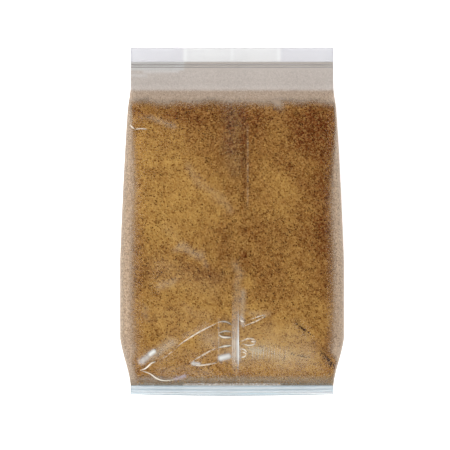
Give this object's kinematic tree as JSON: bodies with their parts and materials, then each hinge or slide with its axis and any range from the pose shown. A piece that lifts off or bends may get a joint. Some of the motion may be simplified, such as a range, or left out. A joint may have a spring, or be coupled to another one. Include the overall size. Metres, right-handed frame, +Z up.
{
  "type": "pouch of sugar",
  "caption": "Sealed clear film pouch with side gussets and a lapped back seam, filled with brown sugar and lying on its front.",
  "frame": {"origin": "centre of the footprint, on the floor that the pouch lies on", "axes": "+Y from the foot fin to the head flap, +Z up through the back panel with the seam, +X to the right of the back panel"},
  "size_m": [0.112, 0.1746, 0.0494],
  "materials": {
    "filled_film": "clear glossy film over brown sugar",
    "film": "thin clear film, glossy, milky where it is sealed or dusted",
    "sugar": "moist brown sugar crystals"
  },
  "bodies": {
    "root": {"pouch": "filled_film"}
  },
  "joints": []
}
